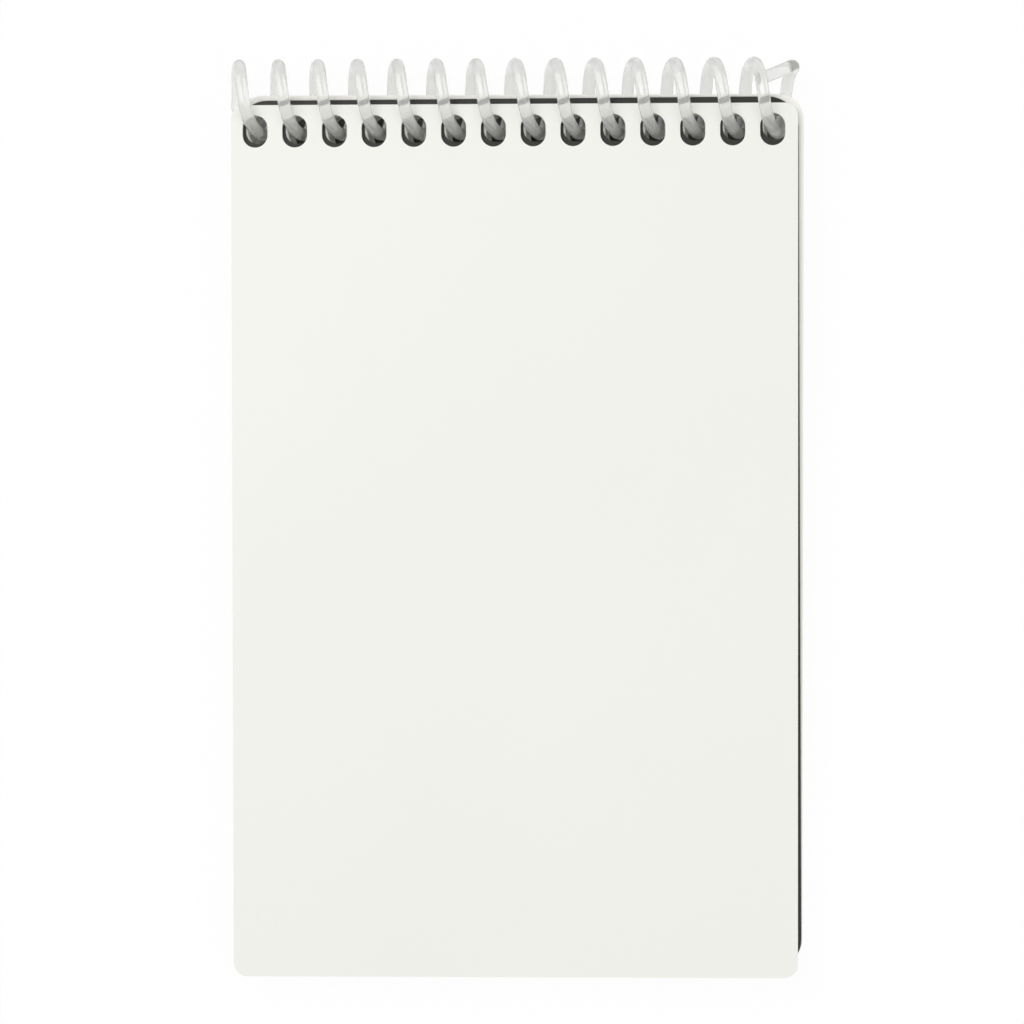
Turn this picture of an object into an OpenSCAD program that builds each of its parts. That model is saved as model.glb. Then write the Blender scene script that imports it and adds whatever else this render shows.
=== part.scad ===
// Pocket reporter notebook, bound along its top edge by a plastic coil.
// It is laid out around the coil: X runs along the coil, Y points from the pad to
// the coil, Z comes out of the front cover, and the coil's axis is the zero line.
// It is then leaned back as it comes to rest, on its coil and its lower edge.

/* [Pad] */
// Width of the pad
pad_w = 90.4; // [80:0.2:120]
// Height of the pad
pad_h = 139.6; // [100:0.2:200]

/* [Covers] */
// Thickness of each plastic cover
cover_t = 0.8; // [0.5:0.1:1]
// Corner radius of the front cover
front_r = 2.2; // [1:0.1:5]
// Corner radius of the back cover
back_r = 4; // [1:0.5:6]
// How far the front cover's top edge lies below the coil's axis
front_drop = 1.18; // [0.7:0.02:1.6]
// How far the back cover's top edge lies above the coil's axis
back_rise = 0.22; // [0:0.02:0.5]
// How far the back cover has slipped to the right of the front cover
back_slip = 0.8; // [-1:0.1:1]

/* [Liner sheet] */
// How much narrower than the pad the dark sheet behind the front cover is
liner_trim = 0.6; // [0:0.1:2]
// Thickness of the dark sheet
liner_t = 0.3; // [0.2:0.05:0.5]
// Corner radius of the dark sheet
liner_r = 5; // [1:0.5:6]
// How far the dark sheet's top edge lies below the coil's axis
liner_drop = 0.22; // [0:0.02:1]
// How far the dark sheet has slipped to the right of the front cover
liner_slip = 0.45; // [0:0.05:0.6]
// How much higher the dark sheet's holes sit than the front cover's
liner_hole_lift = 0.8; // [0:0.05:0.9]
// Degrees by which the dark sheet has turned, counter-clockwise
liner_turn = 0.2; // [-0.2:0.05:0.2]

/* [Page block] */
// How much lower than the pad the pages are
page_trim = 0.5; // [0:0.1:2]
// Thickness of the block of pages
page_t = 4.4; // [3:0.1:4.8]
// Corner radius of the pages
page_r = 4; // [1:0.5:6]
// How far the pages' top edge lies above the coil's axis
page_rise = 0.38; // [0:0.02:0.6]
// How far the pages have slipped to the right of the front cover
page_slip = 1; // [-1:0.1:1]
// Degrees by which the pages have turned, counter-clockwise
page_turn = -0.1; // [-0.1:0.05:0.1]

/* [Holes] */
// Distance between the middles of neighbouring holes
pitch = 6.35; // [6.2:0.01:6.4]
// Width of a hole
hole_w = 4; // [3.9:0.05:4.4]
// Height of a hole
hole_h = 5.15; // [5.1:0.05:5.3]
// How far the middle of the front cover's holes lies below the coil's axis
hole_drop = 5.38; // [5.3:0.02:5.4]
// Least distance from the middle of the last hole of the row to the pad's side
side_margin = 3.3; // [3.2:0.1:6]
// How far the row of holes sits to the left of the front cover's middle
hole_row_slip = 0.1; // [-0.5:0.1:0.5]
// How much higher the pages' and the back cover's holes sit than the front cover's
inner_hole_lift = 0.35; // [0:0.05:0.4]
// How far the pages' holes sit to the right of the front cover's
page_hole_slip = 0.75; // [0.6:0.05:0.9]
// How far the back cover's holes sit to the right of the front cover's
back_hole_slip = 1.5; // [1.1:0.05:1.8]

/* [Coil] */
// Diameter of the coil's wire
wire_d = 2; // [1.6:0.05:2]
// Radius of the coil, from its axis to the middle of the wire
coil_r = 5.55; // [5.5:0.01:5.65]
// How far a loop's top lies to the left of the hole that its front comes down to
wire_lead = 3; // [2.9:0.05:3.1]
// How far the loop's front falls behind an even helix before it reaches the hole
front_lag = 0.25; // [0:0.05:0.3]
// How far the wire has got ahead of an even helix when it leaves the back cover
back_lead = 0.85; // [0.7:0.05:0.9]
// Radius of the bends where the wire's two ends are turned inwards
bend_r = 1.35; // [1.3:0.05:1.6]
// Straight length of the turned end at the right
right_tail = 5.3; // [1:0.1:6]
// How far the coil's last strand leans out to the right at its end
right_lean = 0.7; // [0:0.1:1]
// Straight length of the turned end at the left
left_tail = 0.8; // [0.2:0.1:1.2]

/* [Stack] */
// Air between neighbouring sheets
sheet_gap = 0.05; // [0.03:0.01:0.1]

/* [Hidden] */
$fn = 48;

plastic_white = "#f0f1eb";
liner_black = "#3a3b34";
paper_white = "#f5f4ef";
coil_milk = "#e3e5e0";

// The stack of sheets, from the back face up, with its middle at the coil's axis
stack_t = 2 * cover_t + page_t + liner_t + 3 * sheet_gap;
back_z = -stack_t / 2;
page_z = back_z + cover_t + sheet_gap;
liner_z = page_z + page_t + sheet_gap;
front_z = liner_z + liner_t + sheet_gap;

// The coil: angle 0 is the top of the first loop, and 90 its front
turn_rings = 24;
wire_sides = 8;
bend_rings = 5;
hole_count = floor((pad_w - 2 * side_margin) / pitch) + 1;
first_hole_x = -hole_row_slip - pitch * (hole_count - 1) / 2;
first_top_x = first_hole_x - wire_lead;
left_end_angle = -92;
lag_angles = [20, 110];
hole_angles = [112, 198];
return_angles = [240, 335];
right_end_angle = 360 * hole_count - 26;
last_hole_angle = 360 * (hole_count - 1) + 215;
left_inwards = [1, 0, 0];
right_inwards = [-1, -0.55, 0.3];
left_bend = 85;
right_bend = 90;

// How the closed notebook lies: on its coil and on the back cover's lower edge
coil_outer_r = coil_r + wire_d / 2;
back_bottom = pad_h - back_rise;
rest_tilt = asin(coil_outer_r / norm([back_bottom, back_z])) - atan(-back_z / back_bottom);
front_bottom = front_drop + pad_h;
rest_low_y = -front_bottom * cos(rest_tilt) - stack_t / 2 * sin(rest_tilt);
rest_mid_y = (coil_outer_r + rest_low_y) / 2;

module at_rest() {
    translate([0, -rest_mid_y, coil_outer_r]) rotate([rest_tilt, 0, 0]) children();
}

// Sheets
module rounded_outline(w, h, r) {
    square([w, h - 2 * r], center = true);
    square([w - 2 * r, h], center = true);
    for (x = [-1, 1], y = [-1, 1])
        translate([x * (w / 2 - r), y * (h / 2 - r)]) circle(r = r);
}

module hole_outline() {
    straight = hole_h - hole_w;
    square([hole_w, straight], center = true);
    for (y = [-1, 1]) translate([0, y * straight / 2]) circle(d = hole_w);
}

// A punched sheet: "top" is its top edge's height, "slip" its outline's shift to the
// right, and the last two say where its holes lie against the front cover's
module punched_sheet(w, h, r, t, top, slip, hole_slip = 0, hole_lift = 0) {
    linear_extrude(t) difference() {
        translate([slip, top - h / 2]) rounded_outline(w, h, r);
        for (i = [0:hole_count - 1])
            translate([first_hole_x + i * pitch + hole_slip, hole_lift - hole_drop])
                hole_outline();
    }
}

module turned(angle) {
    translate([0, -hole_drop, 0]) rotate(angle) translate([0, hole_drop, 0]) children();
}

module front_cover() {
    color(plastic_white) at_rest() translate([0, 0, front_z])
        punched_sheet(pad_w, pad_h, front_r, cover_t, -front_drop, 0);
}

module liner_sheet() {
    color(liner_black) at_rest() translate([0, 0, liner_z]) turned(liner_turn)
        punched_sheet(pad_w - liner_trim, pad_h, liner_r, liner_t, -liner_drop,
            liner_slip, liner_slip, liner_hole_lift);
}

module page_block() {
    color(paper_white) at_rest() translate([0, 0, page_z]) turned(page_turn)
        punched_sheet(pad_w, pad_h - page_trim, page_r, page_t, page_rise,
            page_slip, page_hole_slip, inner_hole_lift);
}

module back_cover() {
    color(plastic_white) at_rest() translate([0, 0, back_z])
        punched_sheet(pad_w, pad_h, back_r, cover_t, back_rise,
            back_slip, back_hole_slip, inner_hole_lift);
}

// Coil: one wire of round section, swept along a helix that slants more quickly through
// the holes and is back in step by the next loop's top
function unit(v) = v / norm(v);
function outward(a) = [0, cos(a), sin(a)];
function eased(a, range) = let (s = min(max((a - range[0]) / (range[1] - range[0]), 0), 1))
    s * s * (3 - 2 * s);
function ahead_of_helix(a) = (front_lag + back_lead) * eased(a, hole_angles)
    - front_lag * eased(a, lag_angles) - back_lead * eased(a, return_angles);
function last_lean(a) = let (s = (a - last_hole_angle) / (right_end_angle - last_hole_angle))
    s > 0 ? right_lean * s * s : 0;
function wire_x(a) = let (past = a - 360 * floor(a / 360))
    first_top_x + pitch * a / 360 + ahead_of_helix(past) + last_lean(a);
function wire_at(a) = [wire_x(a), 0, 0] + coil_r * outward(a);

// A turned end: a bend from the wire's own direction towards "inwards", then a
// straight stretch
function tail(a, step, inwards, bend, straight) = let (
    ahead = unit(wire_at(a + step) - wire_at(a)),
    side = unit(inwards - (inwards * ahead) * ahead),
    leaving = cos(bend) * ahead + sin(bend) * side,
    bent = [for (i = [1:bend_rings]) let (b = bend * i / bend_rings)
        wire_at(a) + bend_r * (sin(b) * ahead + (1 - cos(b)) * side)]
) concat(bent, [bent[bend_rings - 1] + straight * leaving]);

function reversed(list) = [for (i = [len(list) - 1:-1:0]) list[i]];

coil_steps = round((right_end_angle - left_end_angle) * turn_rings / 360);
coil_angles = [for (i = [0:coil_steps])
    left_end_angle + (right_end_angle - left_end_angle) * i / coil_steps];
left_end = tail(left_end_angle, -1, left_inwards, left_bend, left_tail);
right_end = tail(right_end_angle, 1, right_inwards, right_bend, right_tail);
coil_path = concat(reversed(left_end), [for (a = coil_angles) wire_at(a)], right_end);
coil_outwards = concat([for (p = left_end) outward(left_end_angle)],
    [for (a = coil_angles) outward(a)], [for (p = right_end) outward(right_end_angle)]);

// Corners of the wire's round section at one point of a path
function wire_section(path, outwards, i) = let (
    last = len(path) - 1,
    along = unit(path[min(i + 1, last)] - path[max(i - 1, 0)]),
    up = unit(outwards[i] - (outwards[i] * along) * along),
    side = cross(along, up)
) [for (s = [0:wire_sides - 1]) let (b = 360 * s / wire_sides)
    path[i] + wire_d / 2 * (cos(b) * up + sin(b) * side)];

module swept_wire(path, outwards) {
    last = len(path) - 1;
    corners = [for (i = [0:last]) each wire_section(path, outwards, i)];
    sides = [for (i = [0:last - 1], s = [0:wire_sides - 1]) let (
        here = i * wire_sides,
        next = (s + 1) % wire_sides
    ) each [
        [here + s, here + next, here + wire_sides + next],
        [here + s, here + wire_sides + next, here + wire_sides + s]
    ]];
    start_cap = [for (s = [wire_sides - 1:-1:0]) s];
    end_cap = [for (s = [0:wire_sides - 1]) last * wire_sides + s];
    polyhedron(corners, concat([start_cap], sides, [end_cap]));
}

module coil() {
    color(coil_milk) at_rest() swept_wire(coil_path, coil_outwards);
}

front_cover();
liner_sheet();
page_block();
back_cover();
coil();
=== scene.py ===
"""Looks of a pocket reporter notebook, bound along its top edge by a plastic coil.

The sheets lie flat in the pad's own frame, whose zero line is the coil's axis: X along the
coil, Y towards it, Z out of the front cover. PAD turns that frame into the notebook at rest.
"""

import math

import bpy
from mathutils import Matrix, Vector


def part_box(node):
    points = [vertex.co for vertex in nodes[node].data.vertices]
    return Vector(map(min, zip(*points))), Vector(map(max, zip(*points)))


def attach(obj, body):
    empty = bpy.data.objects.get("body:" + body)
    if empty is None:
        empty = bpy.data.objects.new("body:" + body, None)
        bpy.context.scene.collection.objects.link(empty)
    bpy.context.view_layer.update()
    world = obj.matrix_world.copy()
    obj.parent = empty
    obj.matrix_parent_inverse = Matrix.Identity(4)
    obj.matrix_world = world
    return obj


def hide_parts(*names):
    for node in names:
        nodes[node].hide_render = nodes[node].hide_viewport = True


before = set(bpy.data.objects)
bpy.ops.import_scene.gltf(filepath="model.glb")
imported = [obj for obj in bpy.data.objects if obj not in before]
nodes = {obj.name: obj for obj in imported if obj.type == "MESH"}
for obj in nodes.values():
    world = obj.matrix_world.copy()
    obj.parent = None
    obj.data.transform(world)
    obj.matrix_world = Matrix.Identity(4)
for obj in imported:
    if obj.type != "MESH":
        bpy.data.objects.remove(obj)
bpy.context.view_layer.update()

MM = 0.001

# Coil: one wire, a helix that slants more quickly through the holes and is back in step by
# the next loop's top. Angle 0 is the first loop's top, and 90 its front
PITCH = 6.35 * MM
LOOPS = 14
FIRST_TOP = -44.375 * MM
COIL_R = 5.55 * MM
WIRE_R = 1.0 * MM
FRONT_LAG = 0.25 * MM
BACK_LEAD = 0.85 * MM
LAG_ANGLES = (20.0, 110.0)
HOLE_ANGLES = (112.0, 198.0)
RETURN_ANGLES = (240.0, 335.0)
LEFT_END_ANGLE = -92.0
RIGHT_END_ANGLE = 360.0 * LOOPS - 26.0
LAST_HOLE_ANGLE = 360.0 * (LOOPS - 1) + 215.0
RIGHT_LEAN = 0.7 * MM
BEND_R = 1.35 * MM
LEFT_BEND = 85.0
RIGHT_BEND = 90.0
LEFT_TAIL = 0.8 * MM
RIGHT_TAIL = 5.3 * MM
LEFT_INWARDS = Vector((1, 0, 0))
RIGHT_INWARDS = Vector((-1, -0.55, 0.3))
STEPS_A_TURN = 60
STEPS_A_BEND = 10
WIRE_SIDES = 20

# Pages: leaves of drawn-out thickness, each a little out of line with its neighbours
LEAF_COUNT = 36
LEAF_T = 0.11 * MM
LEAF_SLIP = 0.07 * MM
LEAF_SEED = 7

# Ruled lines: they fill a field that leaves a margin on every side of the page
RULE_PITCH = 7.0 * MM
RULE_W = 0.25 * MM
FIELD_MIDDLE_Y = -8.0 * MM
FIELD_HALF_Y = 58.0 * MM
FIELD_HALF_X = 42.0 * MM

# Floor: it glows white to the eye, but on the patch that the pad covers, up to just past the
# row of holes, it shows its paint where only a small share of the sky reaches it
FLOOR_HALF = 1.5
FLOOR_DROP = 0.2 * MM
GLOW_SHARE = 0.95
PATCH_MIDDLE = (0.0, -2.25 * MM, 0.0)
PATCH_HALF_X = 45.2 * MM
PATCH_HALF_Y = 67.75 * MM
SKY_REACH = 30.0 * MM
SKY_SHARES = (0.26, 0.5)
# Painted shade: over this span the floor's paint darkens to #5E5E5A under the row of holes
HOLE_SHADE_SPAN = (46.0 * MM, 58.0 * MM)

# Camera: above the pad, almost square to it
LENS = 95.0
CAMERA_DISTANCE = 439.89 * MM
CAMERA_YAW = 1.574
CAMERA_PITCH = 0.43
CAMERA_ROLL = -0.046
CAMERA_TARGET = Vector((-0.604 * MM, 0.904 * MM, 0.0))


def linear(hex_colour):
    """An sRGB hex colour as Blender's linear red, green, blue and alpha."""
    parts = [int(hex_colour[i:i + 2], 16) / 255 for i in (1, 3, 5)]
    return [p / 12.92 if p <= 0.04045 else ((p + 0.055) / 1.055) ** 2.4 for p in parts] + [1.0]


def add(tree, kind, inputs=None, **settings):
    """Adds a node with its settings. An input takes a value, or the socket that feeds it."""
    made = tree.nodes.new(kind)
    for name, value in settings.items():
        setattr(made, name, value)
    for name, value in (inputs or {}).items():
        if isinstance(value, bpy.types.NodeSocket):
            tree.links.new(value, made.inputs[name])
        else:
            made.inputs[name].default_value = value
    return made


# The pad's own frame: its lean is that of the page block's large faces in the CAD
def pad_frame():
    """The matrix from the pad's own frame to the notebook at rest."""
    mesh = nodes["page_block"].data
    face = max(mesh.polygons, key=lambda p: p.area if p.normal.z > 0 else 0.0)
    low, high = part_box("coil")
    reach = COIL_R + WIRE_R
    place = Matrix.Translation((0.0, high[1] - reach, low[2] + reach))
    return place @ Matrix.Rotation(math.atan2(-face.normal.y, face.normal.z), 4, "X")


PAD = pad_frame()


# Materials
def new_material(name):
    """An empty node material and its Principled shader."""
    material = bpy.data.materials.new(name)
    material.use_nodes = True
    tree = material.node_tree
    tree.nodes.clear()
    shader = add(tree, "ShaderNodeBsdfPrincipled")
    add(tree, "ShaderNodeOutputMaterial", {"Surface": shader.outputs[0]})
    return material, tree, shader


def polypropylene_sheet():
    """Warm white polypropylene, calendered: a soft sheen over a very fine grain, and a faint
    unevenness of colour across the sheet."""
    material, tree, shader = new_material("polypropylene_sheet")
    place = add(tree, "ShaderNodeTexCoord").outputs["Object"]
    cloud = add(tree, "ShaderNodeTexNoise", {"Vector": place, "Scale": 22.0, "Detail": 2.0})
    tint = add(tree, "ShaderNodeMix", {
        "Factor": cloud.outputs["Fac"],
        "A": linear("#EFF0E9"),
        "B": linear("#F2F3EE"),
    }, data_type="RGBA")
    # The grain is about 0.15 mm on the real sheet, drawn at 0.5 mm so that it shows
    grain = add(tree, "ShaderNodeTexNoise", {"Vector": place, "Scale": 2000.0, "Detail": 2.0})
    bump = add(tree, "ShaderNodeBump", {
        "Height": grain.outputs["Fac"], "Strength": 0.12, "Distance": 0.02 * MM,
    })
    tree.links.new(tint.outputs["Result"], shader.inputs["Base Color"])
    tree.links.new(bump.outputs["Normal"], shader.inputs["Normal"])
    shader.inputs["Roughness"].default_value = 0.42
    shader.inputs["IOR"].default_value = 1.49
    shader.inputs["Specular IOR Level"].default_value = 0.35
    return material


def black_sheet():
    """Thin olive black sheet, through-dyed and matt: its cut edges and faces read alike."""
    material, tree, shader = new_material("black_sheet")
    place = add(tree, "ShaderNodeTexCoord").outputs["Object"]
    cloud = add(tree, "ShaderNodeTexNoise", {"Vector": place, "Scale": 90.0, "Detail": 4.0})
    tint = add(tree, "ShaderNodeMix", {
        "Factor": cloud.outputs["Fac"],
        "A": linear("#1A1B15"),
        "B": linear("#26271F"),
    }, data_type="RGBA")
    bump = add(tree, "ShaderNodeBump", {
        "Height": cloud.outputs["Fac"], "Strength": 0.2, "Distance": 0.05 * MM,
    })
    tree.links.new(tint.outputs["Result"], shader.inputs["Base Color"])
    tree.links.new(bump.outputs["Normal"], shader.inputs["Normal"])
    shader.inputs["Roughness"].default_value = 0.5
    return material


def uncoated_paper():
    """Uncoated writing paper: dull, with a fibrous tooth, and printed with pale ruled lines."""
    material, tree, shader = new_material("uncoated_paper")
    place = add(tree, "ShaderNodeTexCoord").outputs["Object"]
    fibres = add(tree, "ShaderNodeTexNoise", {
        "Vector": place, "Scale": 1400.0, "Detail": 6.0, "Roughness": 0.7,
    })
    tint = add(tree, "ShaderNodeMix", {
        "Factor": fibres.outputs["Fac"],
        "A": linear("#F1EFE8"),
        "B": linear("#F8F7F2"),
    }, data_type="RGBA")
    spot = add(tree, "ShaderNodeSeparateXYZ", {"Vector": place}).outputs
    along = spot["Y"]
    rows = add(tree, "ShaderNodeMath", {0: along, 1: RULE_PITCH}, operation="FLOORED_MODULO")
    inked = add(tree, "ShaderNodeMath", {0: rows.outputs[0], 1: RULE_W}, operation="LESS_THAN")
    # The lines are printed in the field on the leaves' faces, and not on their edges
    between = add(tree, "ShaderNodeMath", {0: along, 1: FIELD_MIDDLE_Y, 2: FIELD_HALF_Y},
                  operation="COMPARE")
    aside = add(tree, "ShaderNodeMath", {0: spot["X"]}, operation="ABSOLUTE")
    inner = add(tree, "ShaderNodeMath", {0: aside.outputs[0], 1: FIELD_HALF_X},
                operation="LESS_THAN")
    normal = add(tree, "ShaderNodeNewGeometry").outputs["Normal"]
    up = add(tree, "ShaderNodeSeparateXYZ", {"Vector": normal}).outputs["Z"]
    steep = add(tree, "ShaderNodeMath", {0: up}, operation="ABSOLUTE")
    flat = add(tree, "ShaderNodeMath", {0: steep.outputs[0], 1: 0.5}, operation="GREATER_THAN")
    framed = add(tree, "ShaderNodeMath", {0: between.outputs[0], 1: inner.outputs[0]},
                 operation="MULTIPLY")
    ruled = add(tree, "ShaderNodeMath", {0: inked.outputs[0], 1: framed.outputs[0]},
                operation="MULTIPLY")
    printed = add(tree, "ShaderNodeMath", {0: ruled.outputs[0], 1: flat.outputs[0]},
                  operation="MULTIPLY")
    page = add(tree, "ShaderNodeMix", {
        "Factor": printed.outputs[0],
        "A": tint.outputs["Result"],
        "B": linear("#B9C3CE"),
    }, data_type="RGBA")
    bump = add(tree, "ShaderNodeBump", {
        "Height": fibres.outputs["Fac"], "Strength": 0.25, "Distance": 0.03 * MM,
    })
    tree.links.new(page.outputs["Result"], shader.inputs["Base Color"])
    tree.links.new(bump.outputs["Normal"], shader.inputs["Normal"])
    shader.inputs["Roughness"].default_value = 0.9
    shader.inputs["Specular IOR Level"].default_value = 0.2
    return material


def milky_coil_plastic():
    """Drawn clear PVC wire with a milky haze: smooth, glossy, and light passes through it."""
    material, tree, shader = new_material("milky_coil_plastic")
    place = add(tree, "ShaderNodeTexCoord").outputs["Object"]
    haze = add(tree, "ShaderNodeTexNoise", {"Vector": place, "Scale": 300.0, "Detail": 3.0})
    tint = add(tree, "ShaderNodeMix", {
        "Factor": haze.outputs["Fac"],
        "A": linear("#F9FAF7"),
        "B": linear("#FDFDFB"),
    }, data_type="RGBA")
    bump = add(tree, "ShaderNodeBump", {
        "Height": haze.outputs["Fac"], "Strength": 0.08, "Distance": 0.05 * MM,
    })
    tree.links.new(tint.outputs["Result"], shader.inputs["Base Color"])
    tree.links.new(bump.outputs["Normal"], shader.inputs["Normal"])
    shader.inputs["Roughness"].default_value = 0.22
    shader.inputs["IOR"].default_value = 1.45
    shader.inputs["Transmission Weight"].default_value = 0.75
    return material


COVER = polypropylene_sheet()
LINER = black_sheet()
PAPER = uncoated_paper()
COIL = milky_coil_plastic()


# Geometry Nodes
def build_tree(name, inputs):
    """A new Geometry Nodes tree with a geometry socket each way and the named inputs."""
    tree = bpy.data.node_groups.new(name, "GeometryNodeTree")
    tree.interface.new_socket("Geometry", in_out="INPUT", socket_type="NodeSocketGeometry")
    for label, kind in inputs.items():
        tree.interface.new_socket(label, in_out="INPUT", socket_type=kind)
    tree.interface.new_socket("Geometry", in_out="OUTPUT", socket_type="NodeSocketGeometry")
    return tree, add(tree, "NodeGroupInput").outputs


def run_tree(source, tree, values, name):
    """Runs the tree on an object, and returns the result as a plain mesh object."""
    modifier = source.modifiers.new(name, "NODES")
    modifier.node_group = tree
    for item in tree.interface.items_tree:
        if item.in_out == "INPUT" and item.name in values:
            modifier[item.identifier] = values[item.name]
    bpy.context.view_layer.update()
    ready = source.evaluated_get(bpy.context.evaluated_depsgraph_get())
    mesh = bpy.data.meshes.new_from_object(ready)
    source.modifiers.remove(modifier)
    bpy.data.objects.remove(source)
    mesh.name = name
    made = bpy.data.objects.new(name, mesh)
    bpy.context.scene.collection.objects.link(made)
    return made


# Coil
def outward(angle):
    return Vector((0.0, math.cos(math.radians(angle)), math.sin(math.radians(angle))))


def eased(angle, span):
    """A share that grows smoothly from 0 to 1 over a span of angles."""
    share = min(max((angle - span[0]) / (span[1] - span[0]), 0.0), 1.0)
    return share * share * (3 - 2 * share)


def wire_at(angle):
    """The wire's middle at an angle along the coil."""
    past = angle % 360
    ahead = (FRONT_LAG + BACK_LEAD) * eased(past, HOLE_ANGLES)
    ahead -= FRONT_LAG * eased(past, LAG_ANGLES) + BACK_LEAD * eased(past, RETURN_ANGLES)
    last = max((angle - LAST_HOLE_ANGLE) / (RIGHT_END_ANGLE - LAST_HOLE_ANGLE), 0.0)
    along = FIRST_TOP + PITCH * angle / 360 + ahead + RIGHT_LEAN * last * last
    return Vector((along, 0.0, 0.0)) + COIL_R * outward(angle)


def tail(angle, step, inwards, bend, straight):
    """A turned end: a bend from the wire's direction towards "inwards", then a straight."""
    start = wire_at(angle)
    ahead = (wire_at(angle + step) - start).normalized()
    side = (inwards - inwards.dot(ahead) * ahead).normalized()
    turns = [math.radians(bend) * i / STEPS_A_BEND for i in range(1, STEPS_A_BEND + 1)]
    points = [start + BEND_R * (math.sin(t) * ahead + (1 - math.cos(t)) * side) for t in turns]
    leaving = math.cos(turns[-1]) * ahead + math.sin(turns[-1]) * side
    return points + [points[-1] + straight * leaving]


def coil_path():
    """The points of the wire's middle from its left end to its right end."""
    count = round((RIGHT_END_ANGLE - LEFT_END_ANGLE) * STEPS_A_TURN / 360)
    step = (RIGHT_END_ANGLE - LEFT_END_ANGLE) / count
    turns = [wire_at(LEFT_END_ANGLE + step * i) for i in range(count + 1)]
    left = tail(LEFT_END_ANGLE, -1, LEFT_INWARDS, LEFT_BEND, LEFT_TAIL)
    right = tail(RIGHT_END_ANGLE, 1, RIGHT_INWARDS, RIGHT_BEND, RIGHT_TAIL)
    return left[::-1] + turns + right


def curve_object(name, points):
    """A curve of one open spline through the points, in the pad's place."""
    curve = bpy.data.curves.new(name, "CURVE")
    curve.dimensions = "3D"
    spline = curve.splines.new("POLY")
    spline.points.add(len(points) - 1)
    for point, place in zip(spline.points, points):
        point.co = (*(PAD @ place), 1.0)
    made = bpy.data.objects.new(name, curve)
    bpy.context.scene.collection.objects.link(made)
    return made


def make_coil():
    """The coil's wire, swept round along its path."""
    tree, given = build_tree("swept_wire", {
        "Wire radius": "NodeSocketFloat", "Sides": "NodeSocketInt", "Finish": "NodeSocketMaterial",
    })
    section = add(tree, "GeometryNodeCurvePrimitiveCircle", {
        "Radius": given["Wire radius"], "Resolution": given["Sides"],
    })
    swept = add(tree, "GeometryNodeCurveToMesh", {
        "Curve": given["Geometry"], "Profile Curve": section.outputs["Curve"], "Fill Caps": True,
    })
    real = add(tree, "GeometryNodeRealizeInstances", {"Geometry": swept.outputs[0]})
    done = add(tree, "GeometryNodeSetMaterial", {
        "Geometry": real.outputs[0], "Material": given["Finish"],
    })
    add(tree, "NodeGroupOutput", {"Geometry": done.outputs[0]})
    values = {"Wire radius": WIRE_R, "Sides": WIRE_SIDES, "Finish": COIL}
    made = run_tree(curve_object("coil_path", coil_path()), tree, values, "coil_wire")
    for face in made.data.polygons:
        face.use_smooth = len(face.vertices) == 4
    return made


# Sheets
def make_leaves():
    """The pages as leaves, cut to the page block's outline and holes."""
    block = nodes["page_block"].copy()
    block.data = nodes["page_block"].data.copy()
    block.name = "leaf_pattern"
    bpy.context.scene.collection.objects.link(block)
    flat = PAD.inverted()
    block.data.transform(flat)
    low = min(v.co.z for v in block.data.vertices)
    high = max(v.co.z for v in block.data.vertices)
    thickness = high - low
    for vertex in block.data.vertices:
        vertex.co.z = LEAF_T if vertex.co.z > (low + high) / 2 else 0.0
    # The block's own normals don't fit a thin leaf
    block.data.attributes.remove(block.data.attributes["custom_normal"])
    block.data.shade_flat()
    tree, given = build_tree("stack_of_leaves", {
        "Leaves": "NodeSocketInt", "Step": "NodeSocketVector", "Bottom": "NodeSocketVector",
        "Slip": "NodeSocketFloat", "Seed": "NodeSocketInt", "Finish": "NodeSocketMaterial",
    })
    merged = add(tree, "GeometryNodeMergeByDistance", {
        "Geometry": given["Geometry"], "Distance": 0.001 * MM,
    })
    spots = add(tree, "GeometryNodeMeshLine", {
        "Count": given["Leaves"], "Start Location": given["Bottom"], "Offset": given["Step"],
    })
    sideways = add(tree, "ShaderNodeCombineXYZ", {"X": given["Slip"], "Y": given["Slip"]})
    back = add(tree, "ShaderNodeVectorMath", {0: sideways.outputs[0], "Scale": -1.0},
               operation="SCALE")
    chance = add(tree, "FunctionNodeRandomValue", {
        0: back.outputs[0], 1: sideways.outputs[0], "Seed": given["Seed"],
    }, data_type="FLOAT_VECTOR")
    moved = add(tree, "GeometryNodeSetPosition", {
        "Geometry": spots.outputs["Mesh"], "Offset": chance.outputs[0],
    })
    placed = add(tree, "GeometryNodeInstanceOnPoints", {
        "Points": moved.outputs[0], "Instance": merged.outputs[0],
    })
    real = add(tree, "GeometryNodeRealizeInstances", {"Geometry": placed.outputs[0]})
    done = add(tree, "GeometryNodeSetMaterial", {
        "Geometry": real.outputs[0], "Material": given["Finish"],
    })
    add(tree, "NodeGroupOutput", {"Geometry": done.outputs[0]})
    step = (thickness - LEAF_T) / (LEAF_COUNT - 1)
    values = {
        "Leaves": LEAF_COUNT, "Step": (0.0, 0.0, step), "Bottom": (0.0, 0.0, low),
        "Slip": LEAF_SLIP, "Seed": LEAF_SEED, "Finish": PAPER,
    }
    made = run_tree(block, tree, values, "leaves")
    made.data.transform(PAD)
    return made


def dress(node, material):
    """Gives a CAD node its material."""
    node.data.materials.clear()
    node.data.materials.append(material)


dress(nodes["front_cover"], COVER)
dress(nodes["back_cover"], COVER)
dress(nodes["liner_sheet"], LINER)

leaves = make_leaves()
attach(leaves, "pages")
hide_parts("page_block")

coil = make_coil()
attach(coil, "pages")
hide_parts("coil")


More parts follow.
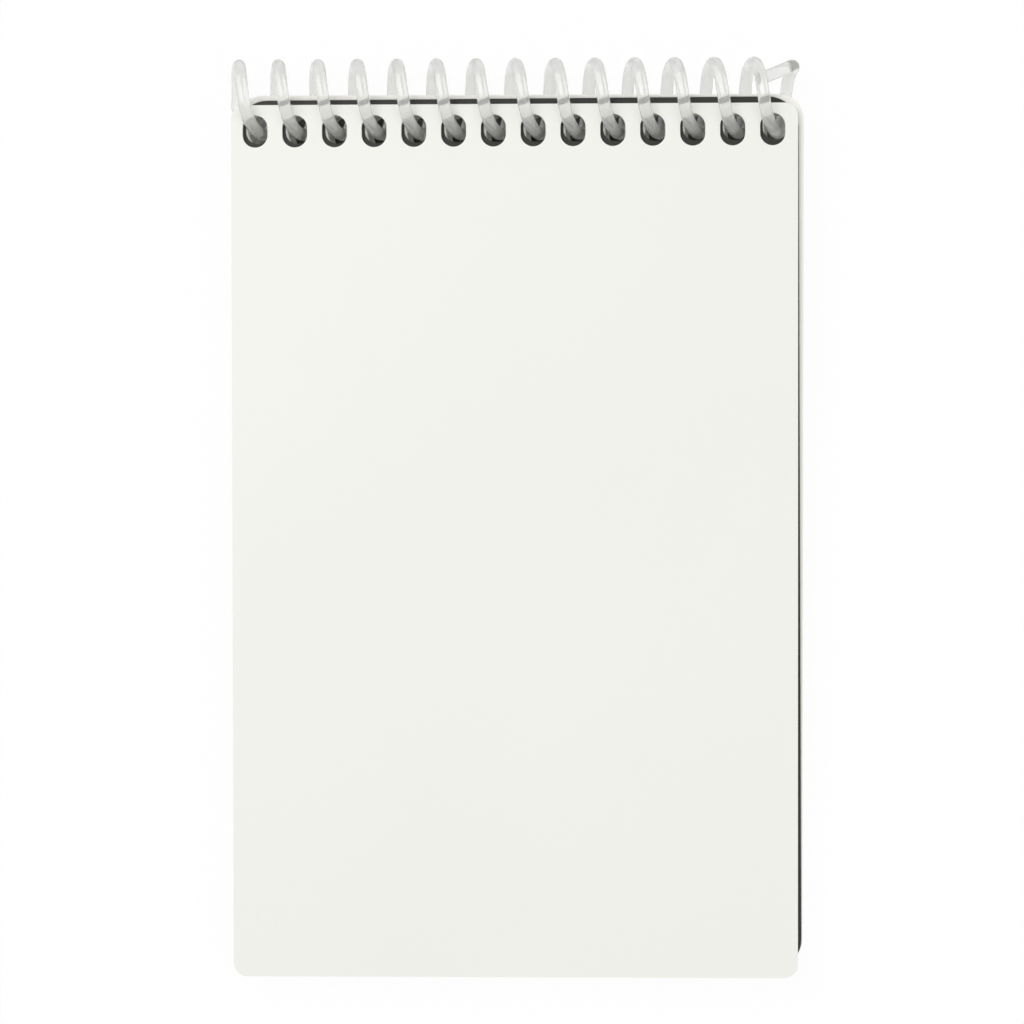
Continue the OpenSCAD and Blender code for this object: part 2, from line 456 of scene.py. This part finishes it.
# Studio
def white_ground():
    """A white floor that shows almost pure white to the eye and in what shines, and keeps a
    faint shadow. Under the pad it has only the light that reaches it. Under the row of holes
    a painted shade darkens its paint."""
    material = bpy.data.materials.new("white_ground")
    material.use_nodes = True
    tree = material.node_tree
    tree.nodes.clear()
    rays = add(tree, "ShaderNodeLightPath").outputs
    glossy = add(tree, "ShaderNodeMath", {
        0: rays["Is Camera Ray"], 1: rays["Is Glossy Ray"],
    }, operation="MAXIMUM")
    seen = add(tree, "ShaderNodeMath", {
        0: glossy.outputs[0], 1: rays["Is Transmission Ray"],
    }, operation="MAXIMUM")
    share = add(tree, "ShaderNodeMath", {0: seen.outputs[0], 1: GLOW_SHARE},
                operation="MULTIPLY")
    paint = add(tree, "ShaderNodeBsdfDiffuse", {"Color": linear("#F8F8F8")})
    glow = add(tree, "ShaderNodeEmission", {"Color": linear("#FFFFFF"), "Strength": 1.0})
    bright = add(tree, "ShaderNodeMixShader", {
        0: share.outputs[0], 1: paint.outputs[0], 2: glow.outputs[0],
    })
    sky = add(tree, "ShaderNodeAmbientOcclusion", {"Distance": SKY_REACH}, samples=8)
    clear = add(tree, "ShaderNodeMapRange", {
        "Value": sky.outputs["AO"], "From Min": SKY_SHARES[0], "From Max": SKY_SHARES[1],
    })
    place = add(tree, "ShaderNodeNewGeometry").outputs["Position"]
    spot = add(tree, "ShaderNodeSeparateXYZ", {"Vector": place}).outputs
    # Painted shade: under the row of holes the paint is darkened to stand in for the shade down
    # the holes
    hole_shade_ramp = add(tree, "ShaderNodeMapRange", {
        "Value": spot["Y"], "From Min": HOLE_SHADE_SPAN[0], "From Max": HOLE_SHADE_SPAN[1],
    })
    painted_hole_shade = add(tree, "ShaderNodeMix", {
        "Factor": hole_shade_ramp.outputs[0], "A": linear("#F8F8F8"), "B": linear("#5E5E5A"),
    }, data_type="RGBA")
    painted_shade_bsdf = add(tree, "ShaderNodeBsdfDiffuse", {"Color": painted_hole_shade.outputs["Result"]})
    dark = add(tree, "ShaderNodeMixShader", {
        0: clear.outputs[0], 1: painted_shade_bsdf.outputs[0], 2: bright.outputs[0],
    })
    offset = add(tree, "ShaderNodeVectorMath", {0: place, 1: PATCH_MIDDLE}, operation="SUBTRACT")
    aside = add(tree, "ShaderNodeVectorMath", {0: offset.outputs[0]}, operation="ABSOLUTE")
    reach = add(tree, "ShaderNodeSeparateXYZ", {"Vector": aside.outputs[0]}).outputs
    in_width = add(tree, "ShaderNodeMath", {0: reach["X"], 1: PATCH_HALF_X},
                   operation="LESS_THAN")
    in_height = add(tree, "ShaderNodeMath", {0: reach["Y"], 1: PATCH_HALF_Y},
                    operation="LESS_THAN")
    under = add(tree, "ShaderNodeMath", {0: in_width.outputs[0], 1: in_height.outputs[0]},
                operation="MULTIPLY")
    mixed = add(tree, "ShaderNodeMixShader", {
        0: under.outputs[0], 1: bright.outputs[0], 2: dark.outputs[0],
    })
    add(tree, "ShaderNodeOutputMaterial", {"Surface": mixed.outputs[0]})
    return material


def make_floor():
    """The desk under the notebook."""
    half = FLOOR_HALF
    mesh = bpy.data.meshes.new("floor")
    corners = [(-half, -half, 0), (half, -half, 0), (half, half, 0), (-half, half, 0)]
    mesh.from_pydata(corners, [], [(0, 1, 2, 3)])
    mesh.materials.append(white_ground())
    made = bpy.data.objects.new("floor", mesh)
    bpy.context.scene.collection.objects.link(made)
    made.location.z = -FLOOR_DROP


def make_lamp(name, place, size, power):
    """A square soft box that faces the notebook."""
    lamp = bpy.data.lights.new(name, "AREA")
    lamp.size = size
    lamp.energy = power
    made = bpy.data.objects.new(name, lamp)
    made.location = place
    made.rotation_euler = Vector(place).to_track_quat("Z", "Y").to_euler()
    bpy.context.scene.collection.objects.link(made)


def make_world(strength):
    """An even white room, pure white to the eye and through what is clear."""
    world = bpy.data.worlds.new("room")
    world.use_nodes = True
    tree = world.node_tree
    tree.nodes.clear()
    rays = add(tree, "ShaderNodeLightPath").outputs
    light = add(tree, "ShaderNodeBackground", {
        "Color": linear("#FFFFFF"), "Strength": strength,
    })
    white = add(tree, "ShaderNodeBackground", {"Color": linear("#FFFFFF"), "Strength": 1.0})
    seen = add(tree, "ShaderNodeMath", {
        0: rays["Is Camera Ray"], 1: rays["Is Transmission Ray"],
    }, operation="MAXIMUM")
    mixed = add(tree, "ShaderNodeMixShader", {
        0: seen.outputs[0], 1: light.outputs[0], 2: white.outputs[0],
    })
    add(tree, "ShaderNodeOutputWorld", {"Surface": mixed.outputs[0]})
    bpy.context.scene.world = world


def make_camera():
    """The camera, from where it looks, how far away it is and how it leans."""
    camera = bpy.data.cameras.new("camera")
    camera.lens = LENS
    camera.sensor_width = 36.0
    camera.clip_start = 0.01
    made = bpy.data.objects.new("camera", camera)
    turn = Matrix.Rotation(math.radians(CAMERA_YAW), 4, "Y")
    turn @= Matrix.Rotation(math.radians(CAMERA_PITCH), 4, "X")
    turn @= Matrix.Rotation(math.radians(CAMERA_ROLL), 4, "Z")
    back = Matrix.Translation((0.0, 0.0, CAMERA_DISTANCE))
    made.matrix_world = Matrix.Translation(CAMERA_TARGET) @ turn @ back
    bpy.context.scene.collection.objects.link(made)
    bpy.context.scene.camera = made


make_floor()
make_world(0.6)
make_lamp("soft_box_left", (-0.35, 0.25, 0.75), 0.6, 2.8)
make_lamp("soft_box_right", (0.5, -0.25, 0.7), 0.6, 1.3)
make_camera()
bpy.context.scene.view_settings.view_transform = "Standard"
